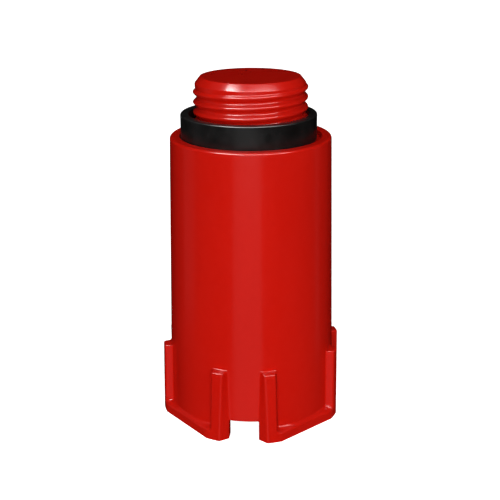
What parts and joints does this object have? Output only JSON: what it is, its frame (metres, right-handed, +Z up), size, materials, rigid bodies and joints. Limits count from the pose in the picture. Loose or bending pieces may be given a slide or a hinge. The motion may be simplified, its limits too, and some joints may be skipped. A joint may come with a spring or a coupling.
{
  "type": "threaded blanking plug",
  "caption": "Long hollow plastic plug with a threaded spigot and a rubber sealing ring, which closes a threaded pipe outlet; slots and ribs in its base take a key.",
  "frame": {"origin": "centre of the face that the plug stands on, on the plug's axis", "axes": "+Z up along the plug's axis towards the threaded end, with the base's four slots opening along +X, -X, +Y and -Y"},
  "size_m": [0.0346, 0.0346, 0.0655],
  "materials": {
    "red_plastic": "moulded red plastic with a satin gloss",
    "black_rubber": "smooth matt black rubber"
  },
  "bodies": {
    "plug": {"plug_body": "red_plastic"},
    "seal": {"sealing_ring": "black_rubber"}
  },
  "joints": [
    {"name": "seal_slide", "type": "slide", "parent": "plug", "child": "seal", "axis": [0, 0, 1], "range_m": [0, 0.0125]}
  ]
}
